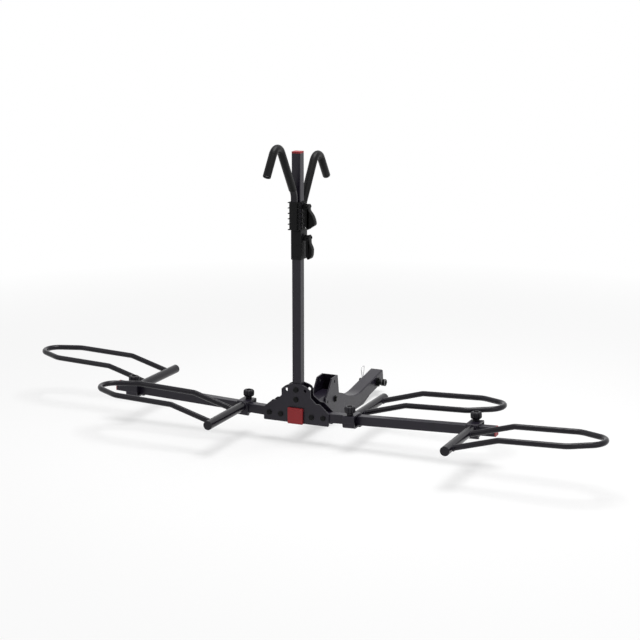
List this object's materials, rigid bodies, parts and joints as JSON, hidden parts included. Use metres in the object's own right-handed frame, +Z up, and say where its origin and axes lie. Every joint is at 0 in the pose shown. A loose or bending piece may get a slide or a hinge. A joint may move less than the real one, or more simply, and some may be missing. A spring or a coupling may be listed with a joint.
{
  "type": "hitch bike rack",
  "caption": "Folding platform bicycle rack for a square hitch receiver: tilting spine and arms with sliding wheel hoops, and a fold-down mast with padded frame hooks on ratchet heads.",
  "frame": {"origin": "centre of the hitch pin hole in the shank, on the shank axis", "axes": "+Y towards the vehicle, +X to the right seen from behind the vehicle, +Z up with the platform level and the mast upright; the shank climbs 8.5 degrees towards the vehicle"},
  "size_m": [2.2594, 1.0071, 1.0484],
  "materials": {
    "black_powder_coat": "semi-gloss black powder coat with a fine orange peel",
    "red_plastic": "satin moulded red plastic",
    "black_nylon": "fine-grained moulded black nylon",
    "foam_rubber": "matte closed-cell foam sleeve",
    "black_oxide": "black oxide fasteners and pins",
    "zinc_steel": "bright zinc-plated steel"
  },
  "bodies": {
    "shank": {"neck_tube": "black_powder_coat", "neck_gusset": "black_powder_coat", "tilt_bracket": "black_powder_coat", "pivot_bolt": "black_oxide", "pivot_nut": "black_oxide"},
    "hitch_pin": {"hitch_pin": "black_oxide", "hitch_lock": "black_oxide"},
    "hitch_clip": {"hitch_clip": "zinc_steel"},
    "tilt_pin": {"tilt_pin": "black_oxide"},
    "platform": {"spine_tube": "black_powder_coat", "spine_cap": "red_plastic", "pivot_sleeve": "zinc_steel", "front_plate": "black_powder_coat", "rear_plate": "black_powder_coat", "left_arm": "black_powder_coat", "right_arm": "black_powder_coat", "arm_caps": "red_plastic", "plate_bolts": "black_oxide", "plate_nuts": "black_oxide"},
    "mast": {"mast_tube": "black_powder_coat", "mast_cap": "red_plastic"},
    "upper_head": {"upper_head": "black_nylon", "front_hook_bar": "black_powder_coat", "front_hook_sleeve": "foam_rubber", "upper_lever_pin": "zinc_steel"},
    "upper_lever": {"upper_lever": "black_nylon"},
    "lower_head": {"lower_head": "black_nylon", "rear_hook_bar": "black_powder_coat", "rear_hook_sleeve": "foam_rubber", "lower_lever_pin": "zinc_steel"},
    "lower_lever": {"lower_lever": "black_nylon"},
    "left_outer_clamp": {"left_outer_upper_jaw": "black_powder_coat", "left_outer_lower_jaw": "black_powder_coat", "left_outer_weld_nut": "zinc_steel", "left_outer_cross_tube": "black_powder_coat", "left_outer_hoop": "black_powder_coat"},
    "left_outer_knob": {"left_outer_knob": "black_nylon", "left_outer_knob_stud": "zinc_steel"},
    "left_inner_clamp": {"left_inner_upper_jaw": "black_powder_coat", "left_inner_lower_jaw": "black_powder_coat", "left_inner_weld_nut": "zinc_steel", "left_inner_cross_tube": "black_powder_coat", "left_inner_hoop": "black_powder_coat"},
    "left_inner_knob": {"left_inner_knob": "black_nylon", "left_inner_knob_stud": "zinc_steel"},
    "right_inner_clamp": {"right_inner_upper_jaw": "black_powder_coat", "right_inner_lower_jaw": "black_powder_coat", "right_inner_weld_nut": "zinc_steel", "right_inner_cross_tube": "black_powder_coat", "right_inner_hoop": "black_powder_coat"},
    "right_inner_knob": {"right_inner_knob": "black_nylon", "right_inner_knob_stud": "zinc_steel"},
    "right_outer_clamp": {"right_outer_upper_jaw": "black_powder_coat", "right_outer_lower_jaw": "black_powder_coat", "right_outer_weld_nut": "zinc_steel", "right_outer_cross_tube": "black_powder_coat", "right_outer_hoop": "black_powder_coat"},
    "right_outer_knob": {"right_outer_knob": "black_nylon", "right_outer_knob_stud": "zinc_steel"}
  },
  "joints": [
    {"name": "hitch_pin_slide", "type": "slide", "parent": "shank", "child": "hitch_pin", "axis": [1, 0, 0], "range_m": [0, 0.01]},
    {"name": "hitch_clip_pull", "type": "slide", "parent": "hitch_pin", "child": "hitch_clip", "axis": [0, 0, 1], "range_m": [0, 0.05]},
    {"name": "tilt_pin_pull", "type": "slide", "parent": "shank", "child": "tilt_pin", "axis": [-1, 0, 0], "range_m": [0, 0.075]},
    {"name": "platform_tilt", "type": "hinge", "parent": "shank", "child": "platform", "pos_m": [0, -0.41101, 0.03857], "axis": [-1, 0, 0], "range_deg": [0, 80]},
    {"name": "mast_fold", "type": "hinge", "parent": "platform", "child": "mast", "pos_m": [0, -0.66001, 0.13477], "axis": [0, 1, 0], "range_deg": [-88, 84]},
    {"name": "upper_head_slide", "type": "slide", "parent": "mast", "child": "upper_head", "axis": [0, 0, 1], "range_m": [0, 0.15]},
    {"name": "lower_head_slide", "type": "slide", "parent": "mast", "child": "lower_head", "axis": [0, 0, 1], "range_m": [-0.385, 0]},
    {"name": "upper_lever_release", "type": "hinge", "parent": "upper_head", "child": "upper_lever", "pos_m": [0.0335, -0.65301, 0.76907], "axis": [0, -1, 0], "range_deg": [0, 25], "stiffness_Nm_per_rad": 0.5, "springref_deg": -20.05},
    {"name": "lower_lever_release", "type": "hinge", "parent": "lower_head", "child": "lower_lever", "pos_m": [0.0335, -0.64601, 0.66107], "axis": [0, -1, 0], "range_deg": [0, 25], "stiffness_Nm_per_rad": 0.5, "springref_deg": -20.05},
    {"name": "left_outer_clamp_slide", "type": "slide", "parent": "platform", "child": "left_outer_clamp", "axis": [-0.9992, 0, 0.0393], "range_m": [-0.17, 0.03]},
    {"name": "left_outer_knob_turn", "type": "hinge", "parent": "left_outer_clamp", "child": "left_outer_knob", "pos_m": [-0.63751, -0.68701, 0.06612], "axis": [0.0393, 0, 0.9992], "continuous": true},
    {"name": "left_inner_clamp_slide", "type": "slide", "parent": "platform", "child": "left_inner_clamp", "axis": [-0.9992, 0, 0.0393], "range_m": [-0.025, 0.17]},
    {"name": "left_inner_knob_turn", "type": "hinge", "parent": "left_inner_clamp", "child": "left_inner_knob", "pos_m": [-0.20584, -0.63301, 0.04916], "axis": [0.0393, 0, 0.9992], "continuous": true},
    {"name": "right_inner_clamp_slide", "type": "slide", "parent": "platform", "child": "right_inner_clamp", "axis": [0.9992, 0, 0.0393], "range_m": [-0.025, 0.17]},
    {"name": "right_inner_knob_turn", "type": "hinge", "parent": "right_inner_clamp", "child": "right_inner_knob", "pos_m": [0.20584, -0.68701, 0.04916], "axis": [-0.0393, 0, 0.9992], "continuous": true},
    {"name": "right_outer_clamp_slide", "type": "slide", "parent": "platform", "child": "right_outer_clamp", "axis": [0.9992, 0, 0.0393], "range_m": [-0.17, 0.03]},
    {"name": "right_outer_knob_turn", "type": "hinge", "parent": "right_outer_clamp", "child": "right_outer_knob", "pos_m": [0.63751, -0.63301, 0.06612], "axis": [-0.0393, 0, 0.9992], "continuous": true}
  ]
}
